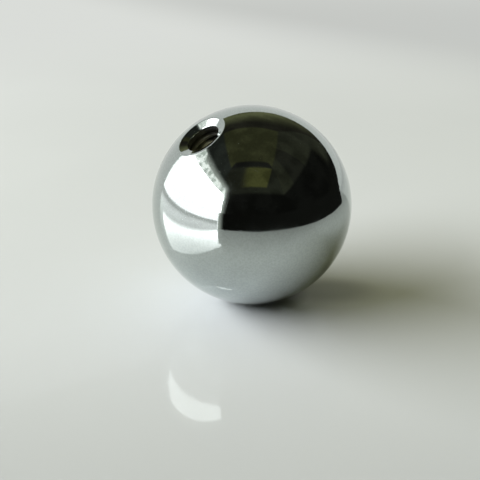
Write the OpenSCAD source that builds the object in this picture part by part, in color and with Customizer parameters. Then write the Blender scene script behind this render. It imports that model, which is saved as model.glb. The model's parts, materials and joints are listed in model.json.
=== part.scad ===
// Solid steel ball with one blind tapped hole.
//
// The ball is one turned and polished piece. Its hole starts in a shallow
// dished lip, polished with the ball, whose rim is blended into the sphere.
// Below the lip the hole is drilled for tapping and ends in the drill's cone.
// The origin is the centre of the ball, +Z is up, and the hole leans forward
// in the YZ plane, as the ball lies on a table.
//
// The bore is drawn at the diameter of the thread's crests. The grooves of so
// fine a thread are left out, and its depth and run-out set the hole's depth.

/* [Ball] */
// Diameter of the ball
ball_d = 30; // [20:1:60]
// Lean of the hole's axis from straight up, towards the front
hole_lean = 35; // [0:1:60]

/* [Tapped hole] */
// Nominal diameter of the thread
thread_d = 6; // [4:0.5:8]
// Pitch of the thread
thread_pitch = 1; // [0.7:0.05:1.25]
// Depth of full thread, from the plane of the lip's rim
thread_depth = 12; // [6:0.5:13]
// Plain drilled run that the tap's lead needs below the full thread
tap_runout = 3; // [1:0.5:4]
// Angle of the drill's point, across the cone
point_angle = 118; // [90:1:140]

/* [Lip] */
// Width of the dished lip round the bore
lip_w = 1.25; // [0.8:0.05:2]
// Depth of the lip at the bore, from the plane of its rim
lip_depth = 0.45; // [0.1:0.05:0.6]
// Radius that blends the lip's rim into the ball
rim_blend_r = 0.8; // [0.2:0.1:1.5]
// Radius that breaks the edge of the bore
bore_edge_r = 0.15; // [0.05:0.05:0.3]

/* [Hidden] */
$fn = 128;
// Reach of a cutting outline past the surface that it cuts
overcut = 1;
// Lap of a blending arc over the faces it joins, so that it crosses them
arc_lap = 0.002;

// The sections are drawn with the hole's axis upright: x is the distance from
// the axis, and y is the height above the centre of the ball.
ball_r = ball_d / 2;
// A metric thread's tapping drill is the thread less one pitch
bore_r = (thread_d - thread_pitch) / 2;
lip_r = bore_r + lip_w;
lip_slope = atan(lip_depth / lip_w);
rim = [lip_r, sqrt(ball_r * ball_r - lip_r * lip_r)];
bore_edge = rim - [lip_w, lip_depth];
bore_end = [bore_r, rim.y - thread_depth - tap_runout];
point_tip = bore_end - bore_r * [1, 1 / tan(point_angle / 2)];

// Directions out along the lip, and from the lip straight into the steel
lip_out = [cos(lip_slope), sin(lip_slope)];
lip_in = [sin(lip_slope), -cos(lip_slope)];

// The rim's arc lies this far below the lip and inside the ball. Its centre
// slides back along the lip until it is as deep in the ball as in the lip.
rim_arc_depth = rim_blend_r - arc_lap;
rim_arc_start = rim + rim_arc_depth * lip_in;
rim_arc_along = rim_arc_start * lip_out;
rim_arc_slide = rim_arc_along
    - sqrt(pow(rim_arc_along, 2) - rim_arc_start * rim_arc_start
           + pow(ball_r - rim_arc_depth, 2));
rim_arc = rim_arc_start - rim_arc_slide * lip_out;

// The bore edge's arc lies this far below the lip and outside the bore
bore_arc_depth = bore_edge_r - arc_lap;
bore_arc = bore_edge
    + bore_arc_depth * [1, -(1 - sin(lip_slope)) / cos(lip_slope)];

// What a blending arc takes off a corner: the corner as seen from the arc's
// centre, between the feet of its two depths, less the arc's own disc.
module corner_cut(centre, radius, foot_a, corner, foot_b) {
    difference() {
        polygon([centre, foot_a, centre + 2 * (corner - centre), foot_b]);
        translate(centre)
            circle(r = radius);
    }
}

module hole_section() {
    polygon([
        [0, ball_r + overcut],
        [lip_r + overcut, ball_r + overcut],
        rim + overcut * lip_out,
        bore_edge,
        bore_end,
        point_tip
    ]);
}

module rim_blend_section() {
    corner_cut(rim_arc, rim_blend_r,
               rim_arc - rim_arc_depth * lip_in,
               rim,
               rim_arc * ball_r / (ball_r - rim_arc_depth));
}

module bore_edge_section() {
    corner_cut(bore_arc, bore_edge_r,
               bore_arc - bore_arc_depth * lip_in,
               bore_edge,
               bore_arc - [bore_arc_depth, 0]);
}

module ball_section() {
    difference() {
        circle(r = ball_r);
        translate([-ball_d, -ball_d])
            square([ball_d, 2 * ball_d]);
        hole_section();
        rim_blend_section();
        bore_edge_section();
    }
}

module ball() {
    color([0.78, 0.79, 0.80])
        rotate([hole_lean, 0, 0])
            rotate_extrude()
                ball_section();
}

ball();
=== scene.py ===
"""A polished steel ball with one tapped hole, and the small studio that it is shown in.

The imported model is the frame. Its ball is replaced by a finer surface of the same sizes, which
Geometry Nodes turn from one outline, with the thread's groove cut into the wall of the bore.
All lengths are in metres. Azimuth 0 is the front, -Y, and it grows towards +X.
"""

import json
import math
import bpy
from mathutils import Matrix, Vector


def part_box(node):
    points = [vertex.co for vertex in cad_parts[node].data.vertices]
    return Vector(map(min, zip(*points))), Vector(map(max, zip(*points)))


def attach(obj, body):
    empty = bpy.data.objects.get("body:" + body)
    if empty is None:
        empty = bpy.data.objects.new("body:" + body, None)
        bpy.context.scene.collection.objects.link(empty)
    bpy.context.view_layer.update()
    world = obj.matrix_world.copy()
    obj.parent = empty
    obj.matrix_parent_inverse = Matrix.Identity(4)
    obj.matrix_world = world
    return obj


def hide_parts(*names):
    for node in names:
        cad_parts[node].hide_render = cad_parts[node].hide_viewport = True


bl_info = {
    "name": "Tapped Steel Ball",
    "version": (1, 0, 0),
    "blender": (4, 5, 0),
    "location": "3D View > Sidebar > Steel Ball",
    "description": "Makes a polished steel ball with a tapped hole, and a small studio round it",
    "category": "Add Mesh",
}

import bpy
from mathutils import Vector

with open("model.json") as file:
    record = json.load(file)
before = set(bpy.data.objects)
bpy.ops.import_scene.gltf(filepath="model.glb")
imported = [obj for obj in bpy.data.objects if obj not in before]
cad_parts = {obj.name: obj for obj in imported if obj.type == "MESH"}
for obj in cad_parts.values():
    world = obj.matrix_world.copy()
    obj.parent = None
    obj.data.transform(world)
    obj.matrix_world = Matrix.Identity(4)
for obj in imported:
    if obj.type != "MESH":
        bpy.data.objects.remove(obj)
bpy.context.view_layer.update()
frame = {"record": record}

MM = 0.001
BALL_LOW, BALL_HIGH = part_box("ball")
HOLE = next(m for m in frame["record"]["mounts"] if m["name"] == "tapped_hole")
HOLE_AXIS = Vector(HOLE["axis"])

# The view, in pixels of a square frame: the ball's centre and its outline's radius there
FRAME_PX = 480
BALL_CENTRE_PX = (251.7, 205.3)
BALL_OUTLINE_PX = 99.6
SENSOR_WIDTH_MM = 36
NEAREST_SEEN = 5 * MM

# Rows of faces in each band of the ball's surface, along its outline
SKIN_ROWS = 128
BLEND_ROWS = 12
LIP_ROWS = 8
EDGE_ROWS = 8
RUN_ROWS = 8
POINT_ROWS = 8
# Vertices nearer than this are one: the poles, the seam and the bands' ends
WELD = 0.0005 * MM
# Edges sharper than this keep a crease
CREASE_ANGLE = math.radians(50)
# The thread fades in over this many pitches at the mouth, and out over this many at the tap's lead
THREAD_FADE_IN = 0.75
THREAD_FADE_OUT = 1.5
# A basic thread's groove has a flat root this share of the pitch wide, and flanks at 60 degrees to
# the axis
ROOT_FLAT = 1 / 8
FLANK_SLOPE = math.tan(math.radians(60))


class Value:
    """A node's output that arithmetic can be written on; each operation adds a Math node."""

    def __init__(self, graph, socket):
        self.graph = graph
        self.socket = socket

    def math(self, operation, *others):
        return self.graph.node("ShaderNodeMath", {"operation": operation}, [self, *others])

    def __add__(self, other):
        return self.math("ADD", other)

    def __radd__(self, other):
        return self.math("ADD", other)

    def __sub__(self, other):
        return self.math("SUBTRACT", other)

    def __rsub__(self, other):
        return self.graph.node("ShaderNodeMath", {"operation": "SUBTRACT"}, [other, self])

    def __mul__(self, other):
        return self.math("MULTIPLY", other)

    def __rmul__(self, other):
        return self.math("MULTIPLY", other)

    def __truediv__(self, other):
        return self.math("DIVIDE", other)

    def __rtruediv__(self, other):
        return self.graph.node("ShaderNodeMath", {"operation": "DIVIDE"}, [other, self])

    def __neg__(self):
        return self.math("MULTIPLY", -1.0)

    def __abs__(self):
        return self.math("ABSOLUTE")

    def sin(self):
        return self.math("SINE")

    def cos(self):
        return self.math("COSINE")

    def root(self):
        return self.math("SQRT")

    def fraction(self):
        return self.math("FRACT")

    def lower(self, other):
        return self.math("MINIMUM", other)

    def higher(self, other):
        return self.math("MAXIMUM", other)

    def ramp(self, low, high):
        """0 at low, 1 at high, in a straight line between them."""
        return ((self - low) / (high - low)).higher(0.0).lower(1.0)

    def ease(self, low, high):
        """0 at low, 1 at high, with a soft start and end."""
        share = self.ramp(low, high)
        return share * share * (3.0 - 2.0 * share)


class Graph:
    """Adds nodes and their links to one tree."""

    def __init__(self, tree):
        self.tree = tree

    def node(self, kind, settings=None, inputs=None, output=0):
        """Adds a node, sets it up, feeds its inputs and gives back one of its outputs."""
        made = self.tree.nodes.new(kind)
        for name, setting in (settings or {}).items():
            setattr(made, name, setting)
        named = inputs.items() if isinstance(inputs, dict) else enumerate(inputs or [])
        for name, value in named:
            self.feed(made.inputs[name], value)
        return Value(self, made.outputs[output])

    def feed(self, socket, value):
        if isinstance(value, Value):
            self.tree.links.new(value.socket, socket)
        elif isinstance(value, (list, tuple)) and value and isinstance(value[0], Value):
            for one in value:
                self.tree.links.new(one.socket, socket)
        else:
            socket.default_value = value

    def parts(self, vector):
        """The x, y and z of a vector."""
        kind = "ShaderNodeSeparateXYZ"
        first = self.node(kind, inputs=[vector])
        outputs = first.socket.node.outputs
        return [Value(self, outputs[axis]) for axis in "XYZ"]

    def vector(self, x, y, z):
        return self.node("ShaderNodeCombineXYZ", inputs=[x, y, z])

    def along(self, vector, direction):
        """How far a vector reaches in a fixed direction."""
        return self.node("ShaderNodeVectorMath", {"operation": "DOT_PRODUCT"},
                         [vector, direction], "Value")

    def mix_colour(self, factor, low, high):
        """The colour low where factor is 0, and high where it is 1."""
        return self.node("ShaderNodeMix", {"data_type": "RGBA"}, {0: factor, 6: low, 7: high}, 2)


def opaque(colour):
    """A colour with full alpha, as a colour socket takes it."""
    return (*colour, 1.0)


def shaded(colour, share):
    """A colour of which this share is left."""
    return opaque([c * share for c in colour])


def toward(azimuth, elevation):
    """The unit vector that points to an azimuth and an elevation, in radians."""
    flat = math.cos(elevation)
    return Vector((math.sin(azimuth) * flat, -math.cos(azimuth) * flat, math.sin(elevation)))


def length(across, along):
    """The length of a flat vector with these two parts."""
    return (across * across + along * along).root()


def highest(values):
    """The greatest of several values."""
    top, *others = values
    for value in others:
        top = top.higher(value)
    return top


def noise(g, place, scale, detail):
    """Soft random patches, which are smaller where the scale is larger."""
    return g.node("ShaderNodeTexNoise",
                  inputs={"Vector": place, "Scale": scale, "Detail": detail})


class BallSettings(bpy.types.PropertyGroup):
    """The ball's sizes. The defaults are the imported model's."""

    diameter: bpy.props.FloatProperty(
        name="Ball Diameter", description="Diameter of the ball",
        default=BALL_HIGH.x - BALL_LOW.x, min=0.02, max=0.06, unit="LENGTH")
    hole_lean: bpy.props.FloatProperty(
        name="Hole Lean", description="Lean of the hole's axis from straight up, to the front",
        default=math.atan2(-HOLE_AXIS.y, HOLE_AXIS.z), min=0.0, max=math.radians(60),
        subtype="ANGLE")
    bore_radius: bpy.props.FloatProperty(
        name="Bore Radius", description="Radius of the bore, at the thread's crests",
        default=HOLE["dims"]["r_mm"] * MM, min=0.0015, max=0.0035, unit="LENGTH")
    thread_radius: bpy.props.FloatProperty(
        name="Thread Radius", description="Radius at the roots of the thread",
        default=3 * MM, min=0.002, max=0.004, unit="LENGTH")
    thread_pitch: bpy.props.FloatProperty(
        name="Thread Pitch", description="Distance between two turns of the thread",
        default=1 * MM, min=0.0007, max=0.00125, unit="LENGTH")
    thread_depth: bpy.props.FloatProperty(
        name="Thread Depth", description="Depth of full thread, from the plane of the lip's rim",
        default=12 * MM, min=0.006, max=0.013, unit="LENGTH")
    tap_runout: bpy.props.FloatProperty(
        name="Tap Runout", description="Plain drilled run below the full thread",
        default=3 * MM, min=0.001, max=0.004, unit="LENGTH")
    point_angle: bpy.props.FloatProperty(
        name="Point Angle", description="Angle of the drill's point, across the cone",
        default=math.radians(118), min=math.radians(90), max=math.radians(140),
        subtype="ANGLE")
    lip_width: bpy.props.FloatProperty(
        name="Lip Width", description="Width of the dished lip round the bore",
        default=1.25 * MM, min=0.0008, max=0.002, unit="LENGTH")
    lip_depth: bpy.props.FloatProperty(
        name="Lip Depth", description="Depth of the lip at the bore, from the plane of its rim",
        default=0.45 * MM, min=0.0001, max=0.0006, unit="LENGTH")
    rim_blend: bpy.props.FloatProperty(
        name="Rim Blend", description="Radius that blends the lip's rim into the ball",
        default=0.8 * MM, min=0.0002, max=0.0015, unit="LENGTH")
    bore_edge: bpy.props.FloatProperty(
        name="Bore Edge", description="Radius that breaks the edge of the bore",
        default=0.15 * MM, min=0.00005, max=0.0003, unit="LENGTH")
    columns: bpy.props.IntProperty(
        name="Columns", description="Faces round the hole's axis",
        default=192, min=48, max=240)
    rows_per_pitch: bpy.props.IntProperty(
        name="Rows Per Pitch", description="Rows of faces in one turn of the thread",
        default=16, min=8, max=32)


class FinishSettings(bpy.types.PropertyGroup):
    """The colours and the polish of the ball's surfaces."""

    steel: bpy.props.FloatVectorProperty(
        name="Steel", description="Colour of the polished steel",
        default=(0.505, 0.55, 0.54), min=0.0, max=1.0, size=3, subtype="COLOR")
    polish: bpy.props.FloatProperty(
        name="Polish", description="Roughness of the polished steel",
        default=0.045, min=0.0, max=1.0, subtype="FACTOR")
    haze: bpy.props.FloatProperty(
        name="Haze", description="Roughness that handling adds in patches",
        default=0.05, min=0.0, max=1.0, subtype="FACTOR")
    bore: bpy.props.FloatVectorProperty(
        name="Bore", description="Colour of the handled, oily steel at the bore's mouth",
        default=(0.06, 0.06, 0.042), min=0.0, max=1.0, size=3, subtype="COLOR")
    # Partly painted light: bare cut steel, lighter deep in the bore and on its +X side
    clean_lit_bore: bpy.props.FloatVectorProperty(
        name="Clean Bore", description="Colour of the cut steel deeper in the bore",
        default=(0.86, 0.85, 0.63), min=0.0, max=1.0, size=3, subtype="COLOR")
    bore_roughness: bpy.props.FloatProperty(
        name="Bore Roughness", description="Roughness of the machined steel in the bore",
        default=0.58, min=0.0, max=1.0, subtype="FACTOR")
    grime: bpy.props.FloatVectorProperty(
        name="Grime", description="Colour of the stains and of the dried oil in the roots",
        default=(0.05, 0.05, 0.03), min=0.0, max=1.0, size=3, subtype="COLOR")
    # Painted shade, near black, on one side of the bore
    oil: bpy.props.FloatVectorProperty(
        name="Oil", description="Colour of the black oil on the bore's high side",
        default=(0.003, 0.003, 0.002), min=0.0, max=1.0, size=3, subtype="COLOR")


class StudioSettings(bpy.types.PropertyGroup):
    """The view, the table and the lights."""

    view_azimuth: bpy.props.FloatProperty(
        name="View Azimuth", description="Where the camera stands, round the ball",
        default=math.radians(59), subtype="ANGLE")
    view_elevation: bpy.props.FloatProperty(
        name="View Elevation", description="Height of the camera above the ball's middle",
        default=math.radians(20), subtype="ANGLE")
    view_distance: bpy.props.FloatProperty(
        name="View Distance", description="Distance from the camera to the ball's centre",
        default=0.1125, min=0.03, unit="LENGTH")
    table: bpy.props.FloatVectorProperty(
        name="Table", description="Colour of the table",
        default=(0.655, 0.675, 0.70), min=0.0, max=1.0, size=3, subtype="COLOR")
    backdrop: bpy.props.FloatVectorProperty(
        name="Backdrop", description="Colour of the pale background",
        default=(0.70, 0.72, 0.69), min=0.0, max=1.0, size=3, subtype="COLOR")
    ambient: bpy.props.FloatVectorProperty(
        name="Ambient", description="Light that fills the shadows from one side",
        default=(0.385, 0.385, 0.225), min=0.0, max=1.0, size=3, subtype="COLOR")
    window_radiance: bpy.props.FloatProperty(
        name="Window Radiance", description="Brightness of the sky in the mirrored window",
        default=12.5, min=0.0)
    ground_radiance: bpy.props.FloatProperty(
        name="Ground Radiance", description="Brightness of the ground in the mirrored window",
        default=2.2, min=0.0)
    lamp_radiance: bpy.props.FloatProperty(
        name="Lamp Radiance", description="Brightness of the lamp that lights the table",
        default=13.4, min=0.0)
    lamp_distance: bpy.props.FloatProperty(
        name="Lamp Distance", description="Distance from the ball to the lamp",
        default=1.0, min=0.2, unit="LENGTH")
    # The mirrored room's colours are glow, a painted reflection of its lit and shaded cloth
    dark_cloth: bpy.props.FloatVectorProperty(
        name="Dark Cloth", description="Colour of the lower part of the mirrored room",
        default=(0.0095, 0.0097, 0.0082), min=0.0, max=1.0, size=3, subtype="COLOR")
    top_cloth: bpy.props.FloatVectorProperty(
        name="Top Cloth", description="Colour of the ceiling of the mirrored room",
        default=(0.060, 0.062, 0.028), min=0.0, max=1.0, size=3, subtype="COLOR")


def size_inputs():
    """The ball's settings that the node tree takes, each with the name of its input."""
    return [(p.identifier, p.name, p.type) for p in BallSettings.bl_rna.properties
            if p.type in {"FLOAT", "INT"}]


def turned_band(g, columns, rows, outline):
    """A grid of faces turned round the axis; outline(around, along) gives radius and height."""
    grid = g.node("GeometryNodeMeshGrid",
                  inputs={"Size X": 1.0, "Size Y": 1.0,
                          "Vertices X": columns + 1, "Vertices Y": rows + 1})
    # The grid is 1 wide each way, with its middle at the origin
    x, y, _ = g.parts(g.node("GeometryNodeInputPosition"))
    around = x + 0.5
    radius, height = outline(around, y + 0.5)
    turn = around * math.tau
    place = g.vector(radius * turn.cos(), radius * turn.sin(), height)
    return g.node("GeometryNodeSetPosition", inputs={"Geometry": grid, "Position": place})


def line_outline(start, end):
    """A straight outline from start to end, each a radius and a height."""
    def outline(around, along):
        return [a + (b - a) * along for a, b in zip(start, end)]
    return outline


def arc_outline(centre, radius, first, last):
    """An arc whose angle runs from first to last, from the axis towards the outside."""
    def outline(around, along):
        angle = first + (last - first) * along
        return centre[0] + radius * angle.sin(), centre[1] + radius * angle.cos()
    return outline


def ball_tree():
    """The node tree that turns the whole surface of the ball, with the thread in its bore."""
    tree = bpy.data.node_groups.new("tapped ball", "GeometryNodeTree")
    kinds = {"FLOAT": "NodeSocketFloat", "INT": "NodeSocketInt"}
    for _, label, kind in size_inputs():
        tree.interface.new_socket(label, in_out="INPUT", socket_type=kinds[kind])
    for label in ("Polished", "Machined"):
        tree.interface.new_socket(label, in_out="INPUT", socket_type="NodeSocketMaterial")
    tree.interface.new_socket("Geometry", in_out="OUTPUT", socket_type="NodeSocketGeometry")
    g = Graph(tree)
    taken = tree.nodes.new("NodeGroupInput")

    def size(label):
        return Value(g, taken.outputs[label])

    ball_r = size("Ball Diameter") / 2.0
    bore_r = size("Bore Radius")
    pitch = size("Thread Pitch")
    lip_width = size("Lip Width")
    lip_depth = size("Lip Depth")
    rim_r = size("Rim Blend")
    edge_r = size("Bore Edge")
    columns = size("Columns")

    # The lip is a cone; out goes up it from the bore, and into goes from it into the steel
    lip_slope = (lip_depth / lip_width).math("ARCTANGENT")
    rise, run = lip_slope.sin(), lip_slope.cos()
    lip_r = bore_r + lip_width
    rim_height = (ball_r * ball_r - lip_r * lip_r).root()
    mouth_height = rim_height - lip_depth

    # The rim's arc touches the lip from below and the ball from inside
    start = [lip_r + rim_r * rise, rim_height - rim_r * run]
    along_lip = start[0] * run + start[1] * rise
    reach = along_lip * along_lip - start[0] * start[0] - start[1] * start[1]
    slide = along_lip - (reach + (ball_r - rim_r) * (ball_r - rim_r)).root()
    rim_centre = [start[0] - slide * run, start[1] - slide * rise]
    rim_angle = (rim_centre[0] / rim_centre[1]).math("ARCTANGENT")

    # The bore edge's arc touches the lip from below and the bore's wall from outside
    edge_centre = [bore_r + edge_r, mouth_height - edge_r * (1.0 - rise) / run]

    def on_lip(centre, radius):
        return [centre[0] - radius * rise, centre[1] + radius * run]

    wall_top = edge_centre[1]
    full_end = rim_height - size("Thread Depth")
    wall_end = full_end - size("Tap Runout")
    point_height = wall_end - bore_r / (size("Point Angle") / 2.0).math("TANGENT")
    turns = ((wall_top - wall_end) / pitch).math("FLOOR")
    groove = size("Thread Radius") - bore_r

    def thread_outline(around, along):
        """Rows that climb with the helix, so that each one keeps its place in the groove."""
        turned = along * (turns + 1.0)
        height = (wall_top + pitch * (around - turned)).lower(wall_top)
        height = height.higher(wall_top - turns * pitch)
        fade = height.ramp(wall_top, wall_top - THREAD_FADE_IN * pitch)
        fade = fade * height.ramp(full_end - THREAD_FADE_OUT * pitch, full_end)
        off_root = abs(turned.fraction() - 0.5) * pitch - ROOT_FLAT / 2.0 * pitch
        cut = groove * fade
        depth = (cut - off_root * FLANK_SLOPE).lower(cut).higher(0.0)
        return bore_r + depth, height

    skin = turned_band(g, columns, SKIN_ROWS, arc_outline([0.0, 0.0], ball_r, math.pi, rim_angle))
    blend = turned_band(g, columns, BLEND_ROWS,
                        arc_outline(rim_centre, rim_r, rim_angle, -lip_slope))
    lip = turned_band(g, columns, LIP_ROWS,
                      line_outline(on_lip(rim_centre, rim_r), on_lip(edge_centre, edge_r)))
    edge = turned_band(g, columns, EDGE_ROWS,
                       arc_outline(edge_centre, edge_r, -lip_slope, -math.pi / 2))
    thread = turned_band(g, columns, size("Rows Per Pitch") * (turns + 1), thread_outline)
    plain = turned_band(g, columns, RUN_ROWS,
                        line_outline([bore_r, wall_top - turns * pitch], [bore_r, wall_end]))
    point = turned_band(g, columns, POINT_ROWS,
                        line_outline([bore_r, wall_end], [bore_r * 0.0, point_height]))

    bore = g.node("GeometryNodeJoinGeometry", inputs=[[point, plain, thread]])
    bore = g.node("GeometryNodeStoreNamedAttribute", {"data_type": "BOOLEAN", "domain": "FACE"},
                  {"Geometry": bore, "Name": "in_bore", "Value": True})
    whole = g.node("GeometryNodeJoinGeometry", inputs=[[bore, edge, lip, blend, skin]])
    whole = g.node("GeometryNodeMergeByDistance", inputs={"Geometry": whole, "Distance": WELD})
    whole = g.node("GeometryNodeTransform",
                   inputs={"Geometry": whole, "Rotation": g.vector(size("Hole Lean"), 0.0, 0.0)})
    whole = g.node("GeometryNodeSetShadeSmooth", {"domain": "FACE"},
                   {"Geometry": whole, "Shade Smooth": True})
    sharp = g.node("GeometryNodeInputMeshEdgeAngle").math("GREATER_THAN", CREASE_ANGLE)
    whole = g.node("GeometryNodeSetShadeSmooth", {"domain": "EDGE"},
                   {"Geometry": whole, "Selection": sharp, "Shade Smooth": False})
    whole = g.node("GeometryNodeRealizeInstances", inputs=[whole])
    whole = g.node("GeometryNodeSetMaterial",
                   inputs={"Geometry": whole, "Material": size("Polished")})
    in_bore = g.node("GeometryNodeInputNamedAttribute", {"data_type": "BOOLEAN"},
                     {"Name": "in_bore"})
    whole = g.node("GeometryNodeSetMaterial",
                   inputs={"Geometry": whole, "Selection": in_bore, "Material": size("Machined")})
    tree.nodes.new("NodeGroupOutput")
    tree.links.new(whole.socket, tree.nodes[-1].inputs["Geometry"])
    return tree


def new_material(name):
    """An empty material, its graph, and its surface socket."""
    material = bpy.data.materials.new(name)
    material.use_nodes = True
    material.node_tree.nodes.clear()
    out = material.node_tree.nodes.new("ShaderNodeOutputMaterial")
    return material, Graph(material.node_tree), out.inputs["Surface"]


# A mark of near-white lines low on the ball, each with its height from the middle of the
# mark, its left and right ends, and its strength
MARK_AZIMUTH, MARK_ELEVATION = math.radians(42), math.radians(-32.7)
MARK_LINES = ((0.08 * MM, -1.45 * MM, 0.35 * MM, 0.7), (-0.12 * MM, -0.9 * MM, 1.15 * MM, 0.8))
MARK_WIDTH = 0.21 * MM
# Each line fades out over this length at its ends
MARK_END = 0.4 * MM


def near_white_mark(g, place):
    """How much of the mark of near-white lines lies at a place on the ball."""
    out = toward(MARK_AZIMUTH, MARK_ELEVATION)
    side = toward(MARK_AZIMUTH + math.pi / 2, 0.0)
    across = g.along(place, side)
    up = g.along(place, out.cross(side))
    lines = []
    for height, left, right, strength in MARK_LINES:
        line = abs(up - height).ease(MARK_WIDTH, 0.0) * strength
        line = line * across.ease(left, left + MARK_END) * across.ease(right, right - MARK_END)
        lines.append(line)
    return highest(lines) * g.along(place, out).math("GREATER_THAN", 0.0)


# Hairlines run in three directions, each a turn and a scale, and are stretched by this share
HAIRLINES = (((0.3, 0.9, 0.2), 1500.0), ((1.2, 0.1, 2.1), 1900.0), ((2.2, 1.6, 0.8), 1700.0))
HAIRLINE_STRETCH = 0.03
HAIRLINE_SPREAD = 0.70, 0.78


def hairlines(g, place):
    """Thin scratches: noise that is stretched along each of their directions."""
    lines = []
    for turn, scale in HAIRLINES:
        stretched = g.node("ShaderNodeMapping", {"vector_type": "POINT"},
                           {"Vector": place, "Rotation": turn,
                            "Scale": (scale, scale * HAIRLINE_STRETCH, scale)})
        lines.append(noise(g, stretched, 1.0, 1.0).ease(*HAIRLINE_SPREAD))
    return highest(lines)


# The polish has a haze in patches and a fine grain. A spread gives the values of the noise between
# which each one comes in.
HAZE_SCALE, HAZE_DETAIL = 180.0, 4.0
HAZE_SPREAD = 0.42, 0.72
GRAIN_SCALE, GRAIN_DETAIL = 3600.0, 2.0
GRAIN_SPREAD = 0.3, 0.7
# They take these shares of the way from the steel's colour to a darker one, which has this share
# of it left
HAZE_SHARE = 0.25
GRAIN_SHARE = 0.6
HAZED_STEEL = 0.82
# Specks of dust: a few cells have one, with a soft edge between these distances from its middle
DUST_SCALE = 420.0
DUST_EDGE = 0.09, 0.03
DUST_CHANCE = 0.96, 0.97
# The specks of dust and the mark of near-white lines take this colour
SPECK_AND_MARK_COLOUR = (0.84, 0.88, 0.88)
# What hairlines, dust and the mark of near-white lines add to the roughness
HAIRLINE_ROUGHNESS = 0.06
DUST_ROUGHNESS = 0.5
MARK_ROUGHNESS = 0.1
# Heights on the polished surface: the lapping's soft waves and the hairlines
WAVE_SCALE, WAVE_DETAIL = 380.0, 1.5
WAVE_HEIGHT = 0.010 * MM
HAIRLINE_HEIGHT = 0.0006 * MM


def polished_steel():
    """Mirror polish with a faint uneven haze, hairlines, specks of dust and one mark of near-white
    lines.
    """
    finish = bpy.context.scene.steel_finish
    material, g, surface = new_material("polished_steel")
    place = g.node("ShaderNodeTexCoord", output="Object")
    haze = noise(g, place, HAZE_SCALE, HAZE_DETAIL).ease(*HAZE_SPREAD)
    grain = noise(g, place, GRAIN_SCALE, GRAIN_DETAIL).ease(*GRAIN_SPREAD)
    tone = g.mix_colour(haze * HAZE_SHARE + grain * GRAIN_SHARE, opaque(finish.steel),
                        shaded(finish.steel, HAZED_STEEL))

    cells = {"Vector": place, "Scale": DUST_SCALE, "Randomness": 1.0}
    distance = g.node("ShaderNodeTexVoronoi", {"feature": "F1"}, cells)
    pick = g.parts(g.node("ShaderNodeTexVoronoi", {"feature": "F1"}, cells, "Color"))[0]
    dust = distance.ease(*DUST_EDGE) * pick.ease(*DUST_CHANCE)
    near_white = near_white_mark(g, place)
    tone = g.mix_colour(dust.higher(near_white), tone, opaque(SPECK_AND_MARK_COLOUR))

    lines = hairlines(g, place)
    roughness = finish.polish + finish.haze * haze + HAIRLINE_ROUGHNESS * lines
    roughness = roughness + DUST_ROUGHNESS * dust + MARK_ROUGHNESS * near_white
    relief = noise(g, place, WAVE_SCALE, WAVE_DETAIL) * WAVE_HEIGHT + lines * HAIRLINE_HEIGHT
    bump = g.node("ShaderNodeBump", inputs={"Strength": 1.0, "Distance": 1.0, "Height": relief})
    shader = g.node("ShaderNodeBsdfPrincipled",
                    inputs={"Base Color": tone, "Metallic": 1.0, "Roughness": roughness,
                            "Normal": bump})
    g.feed(surface, shader)
    return material


def hole_space(g):
    """Object coordinates turned into the hole's own frame, with its axis along Z."""
    place = g.node("ShaderNodeTexCoord", output="Object")
    lean = bpy.context.scene.steel_ball.hole_lean
    return g.node("ShaderNodeMapping", {"vector_type": "POINT"},
                  {"Vector": place, "Rotation": (-lean, 0.0, 0.0)})


# The bore turns to bare cut steel between these depths below the top of the ball, along its axis,
# and on the side towards +X, between these shares of its radius. Its lightness is partly real and
# partly painted light: deep in the bore, and on the +X side so that its bounce lights the opposite
# wall
CLEAN_LIT_BELOW = 1.6 * MM, 3.6 * MM
CLEAN_LIT_SIDE = -0.1, 0.3
# Grime covers these shares of it: in the thread's roots, as stains, and as streaks drawn out
# round the axis
ROOT_SHARE = 0.4
STAIN_SCALE, STAIN_DETAIL = 500.0, 5.0
STAIN_SPREAD = 0.35, 0.65
STAIN_SHARE = 0.35
STREAK_SCALE, STREAK_DETAIL = (350.0, 350.0, 2400.0), 3.0
STREAK_SPREAD = 0.44, 0.58
STREAK_SHARE = 0.72
# Painted shade darkens it nearly to black on one side, which this turn points to, between these
# shares of its radius
SHADE_TURN = math.radians(200)
SHADE_SIDE = 0.5, 0.95
SHADE_SHARE = 0.97
# The tool has left fine turns of this pitch. They and the stains have a slight relief.
TOOL_PITCH = 0.08 * MM
TOOL_HEIGHT = 0.02 * MM
TOOL_RELIEF = 0.25
# The steel is this metallic where the painted shade doesn't cover it, and roots and stains make it
# rougher
BORE_METALLIC = 0.6
BORE_SPECULAR = 0.2
ROOT_ROUGHNESS = 0.25
STAIN_ROUGHNESS = 0.12


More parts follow.
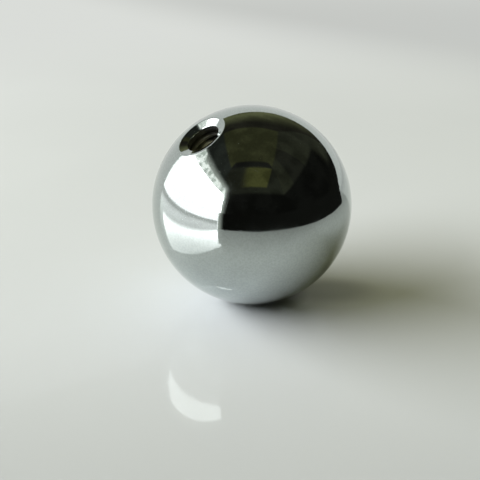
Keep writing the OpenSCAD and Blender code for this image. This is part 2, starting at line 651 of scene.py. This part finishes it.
def machined_steel():
    """Dull tapped steel: the tool's fine turns, stains, partly painted light deeper in, painted
    shade on one side.
    """
    ball = bpy.context.scene.steel_ball
    finish = bpy.context.scene.steel_finish
    material, g, surface = new_material("machined_steel")
    place = hole_space(g)
    x, y, height = g.parts(place)
    depth = ball.diameter / 2 - height
    # Bare cut steel, lighter partly as painted light, deep in the bore and on its +X side
    clean_and_lit = depth.ease(*CLEAN_LIT_BELOW).higher((x / ball.bore_radius).ease(*CLEAN_LIT_SIDE))
    tone = g.mix_colour(clean_and_lit, opaque(finish.bore), opaque(finish.clean_lit_bore))

    root = length(x, y).ease(ball.bore_radius, ball.thread_radius)
    stain = noise(g, place, STAIN_SCALE, STAIN_DETAIL)
    drawn = g.node("ShaderNodeMapping", {"vector_type": "POINT"},
                   {"Vector": place, "Scale": STREAK_SCALE})
    streak = noise(g, drawn, 1.0, STREAK_DETAIL)
    for share in (root * ROOT_SHARE, stain.ease(*STAIN_SPREAD) * STAIN_SHARE,
                  streak.ease(*STREAK_SPREAD) * STREAK_SHARE):
        tone = g.mix_colour(share, tone, opaque(finish.grime))
    # Painted shade, near black, on one side of the bore; it takes away most of the metal there too
    shade_side = g.along(place, toward(SHADE_TURN, 0.0)) / ball.bore_radius
    painted_shade = shade_side.ease(*SHADE_SIDE) * SHADE_SHARE
    tone = g.mix_colour(painted_shade, tone, opaque(finish.oil))

    turns = (height * (math.tau / TOOL_PITCH)).sin() * 0.5 + stain
    bump = g.node("ShaderNodeBump", inputs={"Strength": TOOL_RELIEF, "Distance": TOOL_HEIGHT,
                                            "Height": turns})
    roughness = finish.bore_roughness + ROOT_ROUGHNESS * root + STAIN_ROUGHNESS * stain
    shader = g.node("ShaderNodeBsdfPrincipled",
                    inputs={"Base Color": tone, "Metallic": BORE_METALLIC * (1.0 - painted_shade),
                            "Roughness": roughness, "Specular IOR Level": BORE_SPECULAR,
                            "Normal": bump})
    g.feed(surface, shader)
    return material


def mesh_object(name, vertices, faces, material=None):
    """A new object in the scene, made from points and faces."""
    mesh = bpy.data.meshes.new(name)
    mesh.from_pydata(vertices, [], faces)
    mesh.update()
    made = bpy.data.objects.new(name, mesh)
    bpy.context.scene.collection.objects.link(made)
    if material:
        mesh.materials.append(material)
    return made


class BALL_OT_tapped_ball(bpy.types.Operator):
    """Makes the polished ball with its lip and tapped bore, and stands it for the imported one"""

    bl_idname = "steel_ball.tapped_ball"
    bl_label = "Tapped Ball"

    def execute(self, context):
        settings = context.scene.steel_ball
        maker = mesh_object("ball_maker", [], [])
        modifier = maker.modifiers.new("tapped ball", "NODES")
        tree = ball_tree()
        modifier.node_group = tree
        inputs = {item.name: item.identifier for item in tree.interface.items_tree
                  if item.in_out == "INPUT"}
        for key, label, _ in size_inputs():
            modifier[inputs[label]] = getattr(settings, key)
        modifier[inputs["Polished"]] = polished_steel()
        modifier[inputs["Machined"]] = machined_steel()
        context.view_layer.update()
        graph = context.evaluated_depsgraph_get()
        mesh = bpy.data.meshes.new_from_object(maker.evaluated_get(graph))
        bpy.data.objects.remove(maker)
        if not mesh.polygons:
            raise RuntimeError("the ball's node tree made no faces")
        mesh.name = "tapped_ball"
        ball = bpy.data.objects.new("tapped_ball", mesh)
        context.scene.collection.objects.link(ball)
        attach(ball, "root")
        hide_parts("ball")
        return {"FINISHED"}


def background_rays(g):
    """1 for the rays that show the pale background: the view's, and those off metal or in glass."""
    return highest([g.node("ShaderNodeLightPath", output=name)
                    for name in ("Is Camera Ray", "Is Glossy Ray", "Is Transmission Ray")])


# The table is a square, and this is half its side
TABLE_HALF = 2.5
# Its front faces this azimuth. A place on it is near, from the ball towards the front, and right.
TABLE_FRONT = math.radians(59)
# Its colour is faintly cloudy, down to this share of itself
CLOUD_SCALE, CLOUD_DETAIL = 9.0, 3.0
CLOUD_SPREAD = 0.35, 0.65
CLOUD_SHARE = 0.97
# Painted shade darkens it to this share towards the front, between these distances
NEAR_SHADE = 0.008, 0.060
NEAR_SHARE = 0.78
# and to this share in a round patch of painted shadow at the ball's foot, whose middle lies this
# far to the right
FOOT_SHIFT = 2.7 * MM
FOOT_SHADE = 7.0 * MM, 3.4 * MM
FOOT_SHARE = 0.35
# and to this share in an oval patch of painted shadow, which deepens the middle of the ball's
# shadow.
# Its middle and its half sizes are given near and right, and it darkens between these shares of
# the half sizes.
DEEP_PLACE = -1.5 * MM, 12.5 * MM
DEEP_SIZE = 5 * MM, 9 * MM
DEEP_SHADE = 1.15, 0.35
DEEP_SHARE = 0.66
# Its gloss. The view sees this share of it, which fades out between these distances.
TABLE_ROUGHNESS = 0.04
TABLE_IOR = 1.38
GLOSS_SEEN = 0.03
GLOSS_FADE = 0.09, 0.045
# The table fades into the backdrop between these distances
TABLE_FADE = 0.06, 0.35
# On this side painted shade darkens the backdrop to this share between the first distances, and it
# has its whole tone again towards the horizon, between the second
CORNER_SIDE = math.radians(179)
CORNER_SHARE = 0.80
CORNER_SHADE = 0.12, 0.24
CORNER_END = 1.1, 0.35


def table_material(studio):
    """A pale table top with a thin gloss, painted shade under the ball and towards the front, that
    ends in the backdrop.
    """
    material, g, surface = new_material("table")
    place = g.node("ShaderNodeTexCoord", output="Object")
    near = g.along(place, toward(TABLE_FRONT, 0.0))
    right = g.along(place, toward(TABLE_FRONT + math.pi / 2, 0.0))
    x, y, _ = g.parts(place)
    distance = length(x, y)

    cloud = noise(g, place, CLOUD_SCALE, CLOUD_DETAIL)
    # Painted shadow: a round patch at the ball's foot, and an oval one along the middle of its
    # shadow
    foot = length(near, right - FOOT_SHIFT)
    deep_shadow = length((near - DEEP_PLACE[0]) / DEEP_SIZE[0], (right - DEEP_PLACE[1]) / DEEP_SIZE[1])
    tone = g.mix_colour(cloud.ease(*CLOUD_SPREAD), opaque(studio.table),
                        shaded(studio.table, CLOUD_SHARE))
    # Painted shade towards the front
    tone = g.mix_colour(near.ease(*NEAR_SHADE), tone, shaded(studio.table, NEAR_SHARE))
    tone = g.mix_colour(foot.ease(*FOOT_SHADE), tone, shaded(studio.table, FOOT_SHARE))
    tone = g.mix_colour(deep_shadow.ease(*DEEP_SHADE) * (1.0 - DEEP_SHARE), tone,
                        opaque((0.0, 0.0, 0.0)))

    matt = g.node("ShaderNodeBsdfDiffuse", inputs={"Color": tone})
    gloss = g.node("ShaderNodeBsdfAnisotropic",
                   inputs={"Color": opaque((1.0, 1.0, 1.0)), "Roughness": TABLE_ROUGHNESS})
    fresnel = g.node("ShaderNodeFresnel", inputs={"IOR": TABLE_IOR})
    seen = g.node("ShaderNodeLightPath", output="Is Camera Ray")
    share = seen * distance.ease(*GLOSS_FADE) * GLOSS_SEEN + (1.0 - seen) * fresnel
    top = g.node("ShaderNodeMixShader", inputs=[share, matt, gloss])

    # Painted shade in one corner of the backdrop
    corner_shade = g.along(place, toward(CORNER_SIDE, 0.0)).ease(*CORNER_SHADE)
    corner_shade = corner_shade * distance.ease(*CORNER_END)
    backdrop = g.mix_colour(corner_shade, opaque(studio.backdrop),
                            shaded(studio.backdrop, CORNER_SHARE))
    backdrop = g.node("ShaderNodeEmission", inputs={"Color": backdrop})
    far = background_rays(g) * distance.ease(*TABLE_FADE)
    g.feed(surface, g.node("ShaderNodeMixShader", inputs=[far, top, backdrop]))
    return material


def make_table(studio, floor):
    """The table top, level with the foot of the ball."""
    corners = [(-1, -1), (1, -1), (1, 1), (-1, 1)]
    vertices = [(x * TABLE_HALF, y * TABLE_HALF, floor) for x, y in corners]
    table = mesh_object("table", vertices, [(0, 1, 2, 3)], table_material(studio))


# The window that the ball mirrors is painted on the hood. It stands on the table and faces the
# ball from this azimuth, and reaches this far to each side and up, as shares of its distance.
WINDOW_FACING = math.radians(-27)
WINDOW_LEFT, WINDOW_RIGHT = 0.87, 1.25
WINDOW_TOP = 0.785
# Its left pane, which ends here, is dimmer, and the sky brightens between these heights
DIM_PANE_TO = 0.60
SKY_RISE = 0.22, 0.34
# A bright blind hangs above it, and its top rises towards its left end, between these places
BLIND_TOP = 1.02
LEFT_BLIND_TOP = 1.17
BLIND_RISE = 0.04, 0.24
# How far past their ends a pane, the blind and the blind's glow on the wall fade out
PANE_EDGE = 0.02
BLIND_EDGE = 0.06
GLOW_EDGE = 0.32
# Their colours. The blind's folds show as mottling.
DIM_PANE = (2.2, 2.25, 2.2)
BLIND = (1.7, 1.72, 1.63)
BLIND_FOLDS = (0.72, 0.78, 0.70)
BLIND_GLOW = (0.55, 0.58, 0.52)
MOTTLING_SCALE, MOTTLING_DETAIL = 5.0, 3.0
MOTTLING_SPREAD = 0.40, 0.60
# A direction that points less than this much at the window's wall misses it
LEAST_FACING = 0.05


def window_gaps(g, direction):
    """How a direction meets the window's wall: a function that tells how far it passes outside a
    part of the wall, and its place across and above the ball there."""
    facing = toward(WINDOW_FACING, 0.0)
    depth = g.along(direction, facing)
    across = g.along(direction, (-facing.y, facing.x, 0.0)) / depth
    above = g.parts(direction)[2] / depth
    behind = depth.math("LESS_THAN", LEAST_FACING)

    def gap(left, right, top):
        return (above - top).higher(left - across).higher(across - right).higher(0.0) + behind

    return gap, across, above


def paint_window(g, studio, direction, place, tone):
    """Paints the blind's glow, the blind, the dim pane and the sky over a tone."""
    gap, across, above = window_gaps(g, direction)
    glow = gap(-BLIND_RISE[1], WINDOW_RIGHT, BLIND_TOP).ease(GLOW_EDGE, 0.0)
    tone = g.mix_colour(glow, tone, opaque(BLIND_GLOW))
    blind_top = BLIND_TOP + (LEFT_BLIND_TOP - BLIND_TOP) * (-across).ease(*BLIND_RISE)
    mottling = noise(g, place, MOTTLING_SCALE, MOTTLING_DETAIL).ease(*MOTTLING_SPREAD)
    blind = g.mix_colour(mottling, opaque(BLIND), opaque(BLIND_FOLDS))
    on_blind = gap(-WINDOW_LEFT, WINDOW_RIGHT, blind_top).ease(BLIND_EDGE, 0.0)
    tone = g.mix_colour(on_blind, tone, blind)
    on_dim_pane = gap(-WINDOW_LEFT, -DIM_PANE_TO, BLIND_TOP).ease(PANE_EDGE, 0.0)
    tone = g.mix_colour(on_dim_pane, tone, opaque(DIM_PANE))
    sky = g.mix_colour(above.ease(*SKY_RISE), opaque([studio.ground_radiance] * 3),
                       opaque([studio.window_radiance] * 3))
    on_pane = gap(-DIM_PANE_TO, WINDOW_RIGHT, WINDOW_TOP).ease(PANE_EDGE, 0.0)
    return g.mix_colour(on_pane, tone, sky)


# The hood glows as a painted reflection of a small room. Each wall faces the ball from an azimuth,
# in degrees, at a distance that is a share of the ceiling's height. Seams between walls are this
# soft.
WINDOW_WALL = -30, 0.43
RIGHT_WALL = 60, 0.50
FAR_WALL = 150, 0.40
OPEN_WALL = 240, 0.49
SEAM = 0.05
# The right wall goes on up by this share, into a dark cove
COVE = 0.30
# The walls' colours are glow, standing in for the room's lit and shaded cloth. A pair gives where a
# colour begins and where it is full: at a height, as a share of the ceiling's, or along the wall,
# as the ratio of two walls' reaches.
WINDOW_WALL_CLOTH = (0.030, 0.034, 0.028)
OPEN_CLOTH = (0.026, 0.025, 0.018)
OPEN_GLOW = (0.165, 0.172, 0.085)
OPEN_GLOW_HEIGHT = 0.72, 0.28
OPEN_GLOW_END = 1.0, 0.1
FAR_CLOTH = (0.024, 0.0245, 0.018)
FAR_CLOTH_HEIGHT = 0.30, 0.35
# The far wall is lighter at its two ends
FAR_RIGHT_CLOTH = (0.037, 0.039, 0.025)
FAR_RIGHT_END = 2.1, 1.8
FAR_OPEN_CLOTH = (0.040, 0.042, 0.028)
FAR_OPEN_END = 0.42, 0.60
FAR_OPEN_HEIGHT = 0.10, 0.20
RIGHT_CLOTH = (0.030, 0.032, 0.022)
RIGHT_CLOTH_HEIGHT = 0.30, 0.36
RIGHT_TOP_CLOTH = (0.018, 0.019, 0.016)
RIGHT_TOP_HEIGHT = 0.93, 1.0
# The right wall's bright panel: its foot, its top, its left edge, and its right edge, which slants
PANEL_CLOTH = (0.094, 0.095, 0.032)
PANEL_FOOT = 0.40, 0.43
PANEL_TOP = 0.96, 0.91
PANEL_LEFT = 0.40, 0.10
PANEL_RIGHT = 0.07, 0.0
PANEL_SLANT = 0.97
# Soft folds in the cloth darken it by up to this share
FOLD_SCALE, FOLD_DETAIL = 1.6, 4.0
FOLD_SPREAD = 0.38, 0.62
FOLD_SHARE = 0.4


def room_material(studio):
    """The glowing, painted reflection of a room that the ball mirrors: dark olive cloth, lighter
    panels, and the bright window.
    """
    material, g, surface = new_material("dark_room")
    # Only the rays that mirror the hood meet it, so it isn't sampled as a lamp
    material.cycles.emission_sampling = "NONE"
    place = g.node("ShaderNodeTexCoord", output="Object")
    direction = g.node("ShaderNodeVectorMath", {"operation": "NORMALIZE"}, [place])
    up = g.parts(direction)[2]

    def reach(wall):
        """How far the direction points at a wall. It meets the wall of which this is greatest."""
        azimuth, distance = wall
        return g.along(direction, toward(math.radians(azimuth), 0.0)) / distance

    def past(lead, others):
        """1 where one reach is past the others, with a soft seam."""
        return (lead - highest(others)).ease(-SEAM, SEAM)

    window, right, far, back = [reach(w) for w in (WINDOW_WALL, RIGHT_WALL, FAR_WALL, OPEN_WALL)]
    wall = highest([window, right, far, back])
    height = up / wall
    on_window = past(window, [right, back])
    on_right = past(right, [window, far])
    on_far = past(far, [right, back])
    on_back = past(back, [far, window])
    on_ceiling = (up / (wall * (1.0 + COVE * on_right)) - 1.0).ease(-SEAM, SEAM)
    high_far = on_far * height.ease(*FAR_CLOTH_HEIGHT)
    panel = height.ease(*PANEL_FOOT) * height.ease(*PANEL_TOP) * (window / right).ease(*PANEL_LEFT)
    panel = panel * (far / right - PANEL_SLANT * height).ease(*PANEL_RIGHT)
    glow = height.ease(*OPEN_GLOW_HEIGHT) * (far / back).ease(*OPEN_GLOW_END)

    tone = opaque(studio.dark_cloth)
    for mask, cloth in (
            (on_window, WINDOW_WALL_CLOTH),
            (high_far, FAR_CLOTH),
            (high_far * (far / right).ease(*FAR_RIGHT_END), FAR_RIGHT_CLOTH),
            (on_far * height.ease(*FAR_OPEN_HEIGHT) * (back / far).ease(*FAR_OPEN_END),
             FAR_OPEN_CLOTH),
            (on_right * height.ease(*RIGHT_CLOTH_HEIGHT), RIGHT_CLOTH),
            (on_right * height.ease(*RIGHT_TOP_HEIGHT), RIGHT_TOP_CLOTH),
            (on_right * panel, PANEL_CLOTH),
            (on_back, OPEN_CLOTH),
            (on_back * glow, OPEN_GLOW),
            (on_ceiling, studio.top_cloth)):
        tone = g.mix_colour(mask, tone, opaque(cloth))
    fold = noise(g, place, FOLD_SCALE, FOLD_DETAIL).ease(*FOLD_SPREAD) * FOLD_SHARE
    tone = g.mix_colour(fold, tone, opaque((0.0, 0.0, 0.0)))
    tone = paint_window(g, studio, direction, place, tone)
    g.feed(surface, g.node("ShaderNodeEmission", inputs={"Color": tone, "Strength": 1.0}))
    return material


# The hood is a dome with a column of faces for each degree. It hangs open at the back, where the
# pale background shows under a straight edge. Azimuths and elevations are in degrees.
HOOD_RADIUS = 2.2
HOOD_COLUMNS, HOOD_ROWS = 360, 24
HOOD_EDGE = -0.5
OPEN_FROM, OPEN_TO = 182, 294
OPEN_FACING = 269
OPEN_HEIGHT = 0.66
# The near card stands between the table and the dark side of the hood
CARD_RADIUS = 0.12
CARD_FROM, CARD_TO = 24, 175
CARD_HEIGHT = 0.02


def seen_only_in_metal(thing):
    """Hides a stage piece from everything but mirror-like surfaces."""
    thing.visible_camera = False
    thing.visible_diffuse = False
    thing.visible_shadow = False
    thing.visible_transmission = False
    thing.visible_volume_scatter = False


def hood_edge(azimuth):
    """Elevation of the hood's lower edge at an azimuth, both in degrees."""
    if OPEN_FROM < azimuth < OPEN_TO:
        return math.degrees(math.atan(OPEN_HEIGHT * math.cos(math.radians(azimuth - OPEN_FACING))))
    return HOOD_EDGE


def make_hood(studio):
    """The dark hood, from its lower edge up to the top."""
    vertices = []
    for column in range(HOOD_COLUMNS):
        low = hood_edge(column + 0.5)
        for row in range(HOOD_ROWS + 1):
            elevation = low + (90 - low) * row / HOOD_ROWS
            for side in (0, 1):
                place = toward(math.radians(column + side), math.radians(elevation))
                vertices.append(place * HOOD_RADIUS)
    faces = []
    for column in range(HOOD_COLUMNS):
        for row in range(HOOD_ROWS):
            first = (column * (HOOD_ROWS + 1) + row) * 2
            faces.append((first, first + 1, first + 3, first + 2))
    hood = mesh_object("hood", vertices, faces, room_material(studio))
    seen_only_in_metal(hood)


def make_card(studio, floor):
    """The low dark card in front of the table's near edge."""
    vertices = []
    for azimuth in range(CARD_FROM, CARD_TO + 1):
        foot = toward(math.radians(azimuth), 0.0) * CARD_RADIUS
        vertices.append((foot.x, foot.y, floor))
        vertices.append((foot.x, foot.y, CARD_HEIGHT))
    faces = [(i, i + 2, i + 3, i + 1) for i in range(0, len(vertices) - 2, 2)]
    card = mesh_object("card", vertices, faces, room_material(studio))
    seen_only_in_metal(card)


# The lamp that lights the table stands where the mirrored window is. Its ends and its low and
# high edges are shares of its distance.
LAMP_LEFT, LAMP_RIGHT = 0.80, 0.75
LAMP_LOW, LAMP_HIGH = 0.41, 0.90
LAMP_COLOUR = (0.985, 1.0, 0.995)


def make_lamp(studio, floor):
    """The soft lamp, a flat panel that faces the ball."""
    distance = studio.lamp_distance
    facing = toward(WINDOW_FACING, 0.0)
    side = Vector((-facing.y, facing.x, 0.0))
    lamp = bpy.data.lights.new("window", "AREA")
    lamp.shape = "RECTANGLE"
    lamp.size = (LAMP_LEFT + LAMP_RIGHT) * distance
    lamp.size_y = (LAMP_HIGH - LAMP_LOW) * distance
    lamp.energy = studio.lamp_radiance * math.pi * lamp.size * lamp.size_y
    lamp.color = LAMP_COLOUR
    panel = bpy.data.objects.new("window", lamp)
    bpy.context.scene.collection.objects.link(panel)
    off_middle = (LAMP_RIGHT - LAMP_LEFT) / 2 * distance
    up = Vector((0, 0, floor + (LAMP_LOW + LAMP_HIGH) / 2 * distance))
    panel.location = facing * distance + side * off_middle + up
    panel.rotation_euler = facing.to_track_quat("Z", "Y").to_euler()
    panel.visible_camera = False
    panel.visible_glossy = False


# The fill light comes from this azimuth and elevation. It grows from its least share to its whole
# between these cosines of the angle to there.
AMBIENT_AZIMUTH, AMBIENT_ELEVATION = math.radians(239), math.radians(20)
AMBIENT_FADE = -0.3, 0.5
AMBIENT_LEAST = 0.1


def make_world(studio):
    """A pale background for the view and for mirror-like surfaces, and a soft fill light."""
    world = bpy.data.worlds.new("studio")
    world.use_nodes = True
    world.node_tree.nodes.clear()
    g = Graph(world.node_tree)
    direction = g.node("ShaderNodeTexCoord", output="Generated")
    side = g.along(direction, toward(AMBIENT_AZIMUTH, AMBIENT_ELEVATION))
    fill = g.mix_colour(side.ease(*AMBIENT_FADE), shaded(studio.ambient, AMBIENT_LEAST),
                        opaque(studio.ambient))
    tone = g.mix_colour(background_rays(g), fill, opaque(studio.backdrop))
    light = g.node("ShaderNodeBackground", inputs={"Color": tone, "Strength": 1.0})
    out = world.node_tree.nodes.new("ShaderNodeOutputWorld")
    g.feed(out.inputs["Surface"], light)
    bpy.context.scene.world = world


def make_camera(studio, radius):
    """The camera, level and turned so that the ball's centre falls where it should."""
    focal_px = BALL_OUTLINE_PX * math.sqrt((studio.view_distance / radius) ** 2 - 1)
    right = (BALL_CENTRE_PX[0] - FRAME_PX / 2) / focal_px
    up = (FRAME_PX / 2 - BALL_CENTRE_PX[1]) / focal_px
    drop = math.sin(-studio.view_elevation) * math.sqrt(1 + right * right + up * up)
    tilt = math.asin(drop / math.sqrt(1 + up * up)) - math.atan(up)
    pan = math.atan2(right, math.cos(tilt) - up * math.sin(tilt))
    camera_data = bpy.data.cameras.new("camera")
    camera_data.sensor_width = SENSOR_WIDTH_MM
    camera_data.lens = focal_px * SENSOR_WIDTH_MM / FRAME_PX
    camera_data.clip_start = NEAREST_SEEN
    camera = bpy.data.objects.new("camera", camera_data)
    bpy.context.scene.collection.objects.link(camera)
    camera.location = toward(studio.view_azimuth, studio.view_elevation) * studio.view_distance
    camera.rotation_euler = (math.pi / 2 + tilt, 0.0, studio.view_azimuth + pan)
    bpy.context.scene.camera = camera


class BALL_OT_studio(bpy.types.Operator):
    """Makes the table, the room that the ball mirrors, the lamp, the world and the camera"""

    bl_idname = "steel_ball.studio"
    bl_label = "Studio"

    def execute(self, context):
        studio = context.scene.steel_studio
        floor = BALL_LOW.z
        make_table(studio, floor)
        make_hood(studio)
        make_card(studio, floor)
        make_lamp(studio, floor)
        make_world(studio)
        make_camera(studio, context.scene.steel_ball.diameter / 2)
        context.scene.view_settings.view_transform = "Standard"
        return {"FINISHED"}


class BALL_PT_panel(bpy.types.Panel):
    """The ball's settings and the buttons that make it"""

    bl_idname = "BALL_PT_panel"
    bl_label = "Steel Ball"
    bl_space_type = "VIEW_3D"
    bl_region_type = "UI"
    bl_category = "Steel Ball"

    def draw(self, context):
        scene = context.scene
        for group, operator in ((scene.steel_ball, BALL_OT_tapped_ball),
                                (scene.steel_finish, None),
                                (scene.steel_studio, BALL_OT_studio)):
            column = self.layout.column(align=True)
            for prop in group.bl_rna.properties:
                if prop.type in {"FLOAT", "INT"}:
                    column.prop(group, prop.identifier)
            if operator:
                column.operator(operator.bl_idname)


CLASSES = (BallSettings, FinishSettings, StudioSettings, BALL_OT_tapped_ball, BALL_OT_studio,
           BALL_PT_panel)
GROUPS = {"steel_ball": BallSettings, "steel_finish": FinishSettings,
          "steel_studio": StudioSettings}


def register():
    for cls in CLASSES:
        bpy.utils.register_class(cls)
    for name, group in GROUPS.items():
        setattr(bpy.types.Scene, name, bpy.props.PointerProperty(type=group))


def unregister():
    for name in GROUPS:
        delattr(bpy.types.Scene, name)
    for cls in reversed(CLASSES):
        bpy.utils.unregister_class(cls)


def main():
    register()
    bpy.ops.steel_ball.tapped_ball()
    bpy.ops.steel_ball.studio()


if __name__ == "__main__":
    main()
